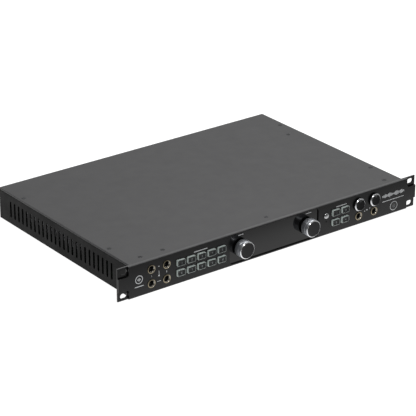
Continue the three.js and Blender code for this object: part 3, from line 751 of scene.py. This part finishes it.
lo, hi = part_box("power_button")
px, pz = (lo.x + hi.x) * 500.0, (lo.z + hi.z) * 500.0
f = lo.y * 1000.0 - Y0
R = 5.3
lathe("power_button_cap", px, pz, [(0, f + 0.25), (R - 1.6, f + 0.2), (R - 0.7, f + 0.02), (R - 0.35, f), (R, f + 0.35), (R, 5.2), (R + 1, 5.2), (R + 1, 6.2), (3, 6.2), (3, 8.0), (0, 8.0)],
      BLACKP, "power_button", 64, 25, "power_button")
lathe("power_ring", px, pz, [(R + 0.4, 0.05), (R + 0.4, -0.12), (R + 0.48, -0.2), (R + 1.02, -0.2), (R + 1.12, -0.12), (R + 1.12, 0.05), (R + 0.4, 0.05)], INK, "chassis", 64, 40)
bm = bmesh.new()
n = 26
arc = [math.radians(90 + 38 + (360 - 76) * k / n) for k in range(n + 1)]
loops_in = [(px + 1.55 * math.cos(a), pz - 0.2 + 1.55 * math.sin(a)) for a in arc]
loops_out = [(px + 2.05 * math.cos(a), pz - 0.2 + 2.05 * math.sin(a)) for a in arc]
outline = loops_out + list(reversed(loops_in))
va = [bm.verts.new(P(x, f + 0.1, z)) for x, z in outline]
vb = [bm.verts.new(P(x, f + 0.26, z)) for x, z in outline]
m2 = len(outline)
for k in range(m2):
    k2 = (k + 1) % m2
    bm.faces.new((va[k], va[k2], vb[k2], vb[k]))
for k in range(n):
    bm.faces.new((va[k], va[k + 1], va[m2 - 2 - k], va[m2 - 1 - k]))
    bm.faces.new((vb[k], vb[m2 - 1 - k], vb[m2 - 2 - k], vb[k + 1]))
box_into(bm, px - 0.25, px + 0.25, f + 0.1, f + 0.26, pz + 0.1, pz + 2.2)
finish_mesh("power_mark", bm, INKDIM, "power_button")

# --------------------------------------------------- printed marks on the panel
INK_Y = (-0.045, 0.03)


def ink_box(bm, x0, x1, z0, z1):
    box_into(bm, x0, x1, INK_Y[0], INK_Y[1], z0, z1)


def ink_ring(bm, cx, cz, r0, r1, a0=0.0, a1=360.0, n=40):
    full = abs(a1 - a0) >= 359.9
    ang = [math.radians(a0 + (a1 - a0) * k / n) for k in range(n if full else n + 1)]
    rows = []
    for r, y in ((r1, INK_Y[0]), (r1, INK_Y[1]), (r0, INK_Y[1]), (r0, INK_Y[0])):
        rows.append([bm.verts.new(P(cx + r * math.cos(a), y, cz + r * math.sin(a))) for a in ang])
    cnt = len(ang)
    for j in range(4):
        A, B = rows[j], rows[(j + 1) % 4]
        for k in range(cnt if full else cnt - 1):
            k2 = (k + 1) % cnt
            bm.faces.new((A[k], A[k2], B[k2], B[k]))
    if not full:
        bm.faces.new([rows[j][0] for j in range(4)])
        bm.faces.new([rows[3 - j][-1] for j in range(4)])


bm = bmesh.new()
# round badge at the left end: a ring with a short wave of bars, and a plain rule below
gx, gz = -211.3, 23.0
ink_ring(bm, gx, gz, 4.6, 5.6, n=56)
for dx, hh in ((-2.4, 1.2), (-1.2, 2.8), (0.0, 4.6), (1.2, 2.8), (2.4, 1.2)):
    ink_box(bm, gx + dx - 0.36, gx + dx + 0.36, gz - hh / 2, gz + hh / 2)
ink_box(bm, gx - 6.6, gx + 6.6, 13.2, 14.2)
finish_mesh("mark_badge", bm, INK, "chassis")

bm = bmesh.new()
# a row of level bars and a rule at the right end
hts = [2.4, 3.6, 5.2, 4.0, 2.8, 4.4, 6.0, 4.8, 3.2, 2.2, 3.4, 5.0, 6.2, 4.6, 3.0, 4.2, 5.6, 3.8, 2.6]
x0, x1 = 183.0, 220.0
for k, hh in enumerate(hts):
    x = x0 + (x1 - x0) * k / (len(hts) - 1)
    ink_box(bm, x - 0.62, x + 0.62, 28.6 - hh / 2, 28.6 + hh / 2)
ink_box(bm, 182.4, 220.6, 20.6, 21.4)
finish_mesh("mark_bars", bm, INK, "chassis")

bm = bmesh.new()
# rules above the two button groups
for xa, xb, z in ((-128.0, -107.5, 36.2), (102.0, 119.5, 35.8)):
    ink_box(bm, xa, xb, z - 0.55, z + 0.55)
# short rules above the two large knobs (on the window)
finish_mesh("mark_rules", bm, INK, "chassis")
bm = bmesh.new()
for xa, xb in ((-57.5, -49.5), (52.0, 61.0)):
    box_into(bm, xa, xb, 1.555, 1.63, 38.3, 39.3)
finish_mesh("mark_knob_rules", bm, INK, "chassis")

bm = bmesh.new()
# jack marks: channel numerals, a level mark between the columns
for tx, cx_, cz_ in (("1", -193.0, 22.2), ("2", -170.0, 22.2)):
    k = 0.95
    strokes_into(bm, digit_strokes(tx), cx_ - k / 2, cz_ - k, k, 0.42, INK_Y[0], INK_Y[1])
ink_box(bm, -182.6, -180.4, 32.0, 32.9)
ink_ring(bm, -181.5, 20.2, 0.0001 + 0.2, 1.15, n=24)
ink_box(bm, -181.8, -181.2, 22.0, 26.6)
ink_box(bm, -184.2, -178.8, 12.2, 12.8)
finish_mesh("mark_jacks", bm, INK, "chassis")

bm = bmesh.new()
for x, z, r in ((151.6, 16.6, 0.75), (155.6, 17.6, 1.0), (160.6, 18.6, 0.75)):
    ink_ring(bm, x, z, 0.05, r, n=20)
finish_mesh("mark_phones", bm, INK, "chassis")

# ---------------------------------------------------------------- rear sockets
R1 = 303.2
for i, x in enumerate((200, 172, 144, 116)):
    node = "combo_jack_%d" % (i + 1)
    bevelled(node, 0.35, BLACKP, "chassis")
    lathe(node + "_core", x, 22.2, [(3.34, R1 - 3), (3.34, R1 + 1.6), (3.7, R1 + 1.9), (7.2, R1 + 1.9), (7.6, R1 + 1.6), (7.6, R1 + 0.85), (3.34, R1 + 0.85)][:6] + [(7.6, R1 + 0.82), (3.34, R1 + 0.82)][:1],
          BLACKP, "chassis", 48, 32)
    lathe(node + "_sleeve", x, 22.2, [(2.95, R1 - 16), (2.95, R1 + 1.7), (3.32, R1 + 1.7), (3.32, R1 - 16), (2.95, R1 - 16)], NICKEL, "chassis", 40, 32)
    bm = bmesh.new()
    for ax, az in ((-5.2, 1.6), (5.2, 1.6), (0.0, -5.4)):
        lathe_into(bm, x + ax, 22.2 + az, [(0, R1 + 1.93), (1.15, R1 + 1.93), (1.15, R1 + 1.6), (0, R1 + 1.6)], 18)
    finish_mesh(node + "_pins", bm, BORE, "chassis")
    slab(node + "_latch", x, 22.2 + 12.9, 6.0, 2.6, 0.6, [(R1 + 2.2, 0.0), (R1 + 2.9, 0.0), (R1 + 3.1, 0.25)], ZINC, "chassis", 3)
    for sx, sz in ((-1, 1), (1, -1)):
        lathe(node + "_screw_%s" % ("a" if sx < 0 else "b"), x + sx * 9.8, 22.2 + sz * 12.4,
              [(0, R1 + 2.5), (0.9, R1 + 2.5), (1.0, R1 + 2.8), (2.0, R1 + 2.75), (2.3, R1 + 2.5), (2.3, R1 + 2.2), (0, R1 + 2.2)], SCREW, "chassis", 24)
for i, z in enumerate((31.5, 12.5)):
    node = "multipin_socket_%d" % (i + 1)
    bevelled(node, 0.3, NICKEL, "chassis")
    bm = bmesh.new()
    c = [(66 - 17.6, z + 3.0), (66 - 16.6, z - 3.0), (66 + 16.6, z - 3.0), (66 + 17.6, z + 3.0)]
    loft_into(bm, [[P(a, R1 + 6.5, b_) for a, b_ in c], [P(a, R1 + 7.0, b_) for a, b_ in c]])
    finish_mesh(node + "_insert", bm, BLACKP, "chassis")
    bm = bmesh.new()
    for row, (cnt, dz) in enumerate(((13, 1.42), (12, -1.42))):
        for k in range(cnt):
            lathe_into(bm, 66 + (k - (cnt - 1) / 2) * 2.5, z + dz, [(0, R1 + 7.05), (0.55, R1 + 7.05), (0.55, R1 + 6.8), (0, R1 + 6.8)], 10)
    finish_mesh(node + "_pins", bm, GOLD, "chassis")
    for s in (-1, 1):
        bm = bmesh.new()
        hx = 66 + s * 23.5
        hexa = [(hx + 2.7 * math.cos(math.radians(60 * k)), z + 2.7 * math.sin(math.radians(60 * k))) for k in range(6)]
        hexi = [(hx + (u - hx) * 0.8, z + (w - z) * 0.8) for u, w in hexa]
        loft_into(bm, [[P(a, R1 + 1.1, b_) for a, b_ in hexa], [P(a, R1 + 5.2, b_) for a, b_ in hexa], [P(a, R1 + 5.7, b_) for a, b_ in hexi]])
        finish_mesh(node + "_post_%s" % ("a" if s < 0 else "b"), bm, NICKEL, "chassis")
    node = "line_out_jack_%d" % (i + 1)
    bevelled(node, 0.2, BLACKP, "chassis")
    lathe(node + "_nut", 22, z, [(3.42, R1 + 2.0), (3.42, R1 + 2.7), (3.6, R1 + 2.9), (5.6, R1 + 2.8), (5.9, R1 + 2.4), (5.9, R1 + 0.1), (5.65, R1 + 0.1), (5.65, R1 + 2.0), (3.42, R1 + 2.0)], NICKEL, "chassis", 40)
    node = "bnc_socket_%d" % (i + 1)
    bevelled(node, 0.2, NICKEL, "chassis")
    bm = bmesh.new()
    for s in (-1, 1):
        box_into(bm, -2 + s * 4.7 - 0.9, -2 + s * 4.7 + 0.9, R1 + 8.2, R1 + 10.0, z - 0.95, z + 0.95)
    finish_mesh(node + "_lugs", bm, NICKEL, "chassis")
for i, z in enumerate((30, 14)):
    lathe("coax_ring_%d" % (i + 1), -28, z, [(4.15, R1 + 1.25), (5.3, R1 + 1.25), (5.3, R1 + 2.0), (5.0, R1 + 2.3), (4.15, R1 + 2.3), (4.15, R1 + 1.25)], ORANGE if i == 0 else BLACKP, "chassis", 36)
    lathe("coax_shell_%d" % (i + 1), -28, z, [(4.12, R1 + 2.3), (4.3, R1 + 2.4), (4.3, R1 + 8.6), (4.1, R1 + 9.3), (3.5, R1 + 9.6), (3.5, R1 + 9.41), (4.12, R1 + 8.9), (4.12, R1 + 2.3)], NICKEL, "chassis", 36)
bevelled("coax_block", 0.3, BLACKP, "chassis")
for i, x in enumerate((-54, -78)):
    node = "optical_block_%d" % (i + 1)
    bevelled(node, 0.3, BLACKP, "chassis")
    for j, z in enumerate((30, 14)):
        slab(node + "_shutter_%d" % (j + 1), x, z, 8.9, 8.5, 0.5, [(R1 + 0.9, 0.0), (R1 + 1.3, 0.0), (R1 + 1.5, 0.3), (R1 + 1.5, 1.2), (R1 + 1.2, 1.5)], SCREW, "chassis", 3)
bevelled("data_port_block", 0.25, NICKEL, "chassis")
for j, z in enumerate((29, 15)):
    slab("data_port_tongue_%d" % (j + 1), -108, z, 6.2, 0.75, 0.3, [(R1 - 7.9, 0.0), (R1 - 0.2, 0.0), (R1, 0.12)], BLACKP, "chassis", 3)
bevelled("power_inlet", 0.5, BLACKP, "chassis", 3)
bm = bmesh.new()
for ax, az in ((-7.0, 1.5), (7.0, 1.5), (0.0, -3.0)):
    slab_into(bm, -178 + ax, 22.2 + az, 2.0, 4.0, 0.3, [(R1 - 16.9, 0.0), (R1 - 2.0, 0.0), (R1 - 1.2, 0.5)], 2)
finish_mesh("power_inlet_blades", bm, NICKEL, "chassis")
for s in (-1, 1):
    lathe("power_inlet_screw_%s" % ("a" if s < 0 else "b"), -178 + s * 20, 22.2,
          [(0, R1 + 3.3), (0.9, R1 + 3.3), (1.0, R1 + 3.7), (2.2, R1 + 3.6), (2.7, R1 + 3.3), (2.7, R1 + 3.0), (0, R1 + 3.0)], SCREW, "chassis", 24)
for i, (x, z) in enumerate([(-216, 36), (-216, 6), (216, 36), (216, 6), (92, 36), (92, 6), (-136, 36), (-136, 6), (0, 6)]):
    if (x, z) == (0, 6):
        continue
    lathe("rear_screw_%d" % (i + 1), x, z, [(0, R1 + 0.5), (0.9, R1 + 0.5), (1.0, R1 + 1.2), (2.1, R1 + 1.1), (2.6, R1 + 0.7), (2.7, R1 + 0.0), (0, R1 + 0.0)], SCREW, "chassis", 24)
